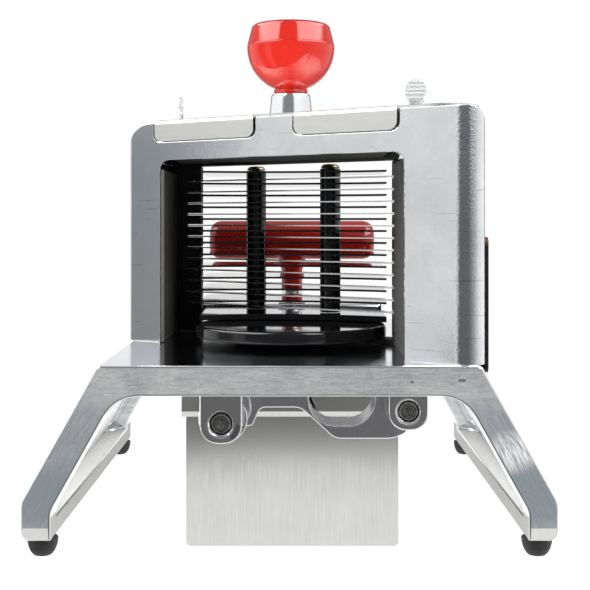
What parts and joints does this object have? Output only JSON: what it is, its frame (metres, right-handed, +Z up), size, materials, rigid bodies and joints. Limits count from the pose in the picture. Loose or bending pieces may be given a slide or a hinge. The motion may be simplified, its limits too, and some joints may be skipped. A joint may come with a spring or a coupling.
{
  "type": "fruit and vegetable slicer",
  "caption": "Hand push slicer: a cast table with splayed legs carries a slanted pack of thin parallel blades, and a finned pusher on two rods drives fruit through it.",
  "frame": {"origin": "on the front face of the hanging table stop plate, in the middle of its width, level with the table top under the feet", "axes": "+Z up from the table top; -Y the way the pusher is pushed, so the slices leave towards -Y; +X to the right seen from the slice outlet side looking at the object's front"},
  "size_m": [0.2348, 0.2623, 0.3156],
  "materials": {
    "cast_aluminium": "sanded casting, mirror-polished table top",
    "polished_aluminium": "polished",
    "brushed_sheet": "brushed stainless sheet",
    "steel": "ground steel",
    "black_plastic": "gloss black",
    "dark_plastic": "satin dark grey",
    "red_plastic": "gloss red",
    "bronze": "dark bronze",
    "rubber": "black rubber"
  },
  "bodies": {
    "frame": {"base_casting": "cast_aluminium", "blade_housing": "cast_aluminium", "knob_post": "polished_aluminium", "top_cover": "brushed_sheet", "table_stop": "brushed_sheet", "blade_01": "steel", "blade_02": "steel", "blade_03": "steel", "blade_04": "steel", "blade_05": "steel", "blade_06": "steel", "blade_07": "steel", "blade_08": "steel", "blade_09": "steel", "blade_10": "steel", "blade_11": "steel", "blade_12": "steel", "guide_rod_left": "steel", "guide_rod_right": "steel", "stop_bolt_left": "steel", "stop_bolt_right": "steel", "knob": "red_plastic", "side_guard": "black_plastic", "lining_left": "dark_plastic", "lining_right": "dark_plastic", "lining_top": "dark_plastic", "comb_left": "dark_plastic", "comb_right": "dark_plastic", "cartridge_bar_bottom": "dark_plastic", "cartridge_bar_top": "dark_plastic", "foot_front_left": "rubber", "foot_rear_left": "rubber", "foot_front_right": "rubber", "foot_rear_right": "rubber"},
    "pusher": {"floor_disc": "black_plastic", "pusher_fin_01": "black_plastic", "pusher_fin_02": "black_plastic", "pusher_fin_03": "black_plastic", "pusher_fin_04": "black_plastic", "pusher_fin_05": "black_plastic", "pusher_fin_06": "black_plastic", "pusher_fin_07": "black_plastic", "pusher_fin_08": "black_plastic", "pusher_fin_09": "black_plastic", "pusher_fin_10": "black_plastic", "pusher_fin_11": "black_plastic", "pusher_fin_12": "black_plastic", "pusher_fin_bottom": "black_plastic", "slide_carriage": "polished_aluminium", "t_handle": "red_plastic", "pusher_column_left": "black_plastic", "pusher_column_right": "black_plastic", "column_screw_left": "bronze", "column_screw_right": "bronze", "bushing_left": "dark_plastic", "bushing_right": "dark_plastic"},
    "screw_left": {"thumbscrew_left": "steel"},
    "screw_right": {"thumbscrew_right": "steel"}
  },
  "joints": [
    {"name": "pusher_slide", "type": "slide", "parent": "frame", "child": "pusher", "axis": [0, 1, 0], "range_m": [0, 0.095]},
    {"name": "thumbscrew_left_turn", "type": "hinge", "parent": "frame", "child": "screw_left", "pos_m": [-0.0596, -0.13612, 0.2], "axis": [0, 0, 1], "continuous": true},
    {"name": "thumbscrew_right_turn", "type": "hinge", "parent": "frame", "child": "screw_right", "pos_m": [0.0592, -0.21761, 0.2], "axis": [0, 0, 1], "continuous": true}
  ]
}
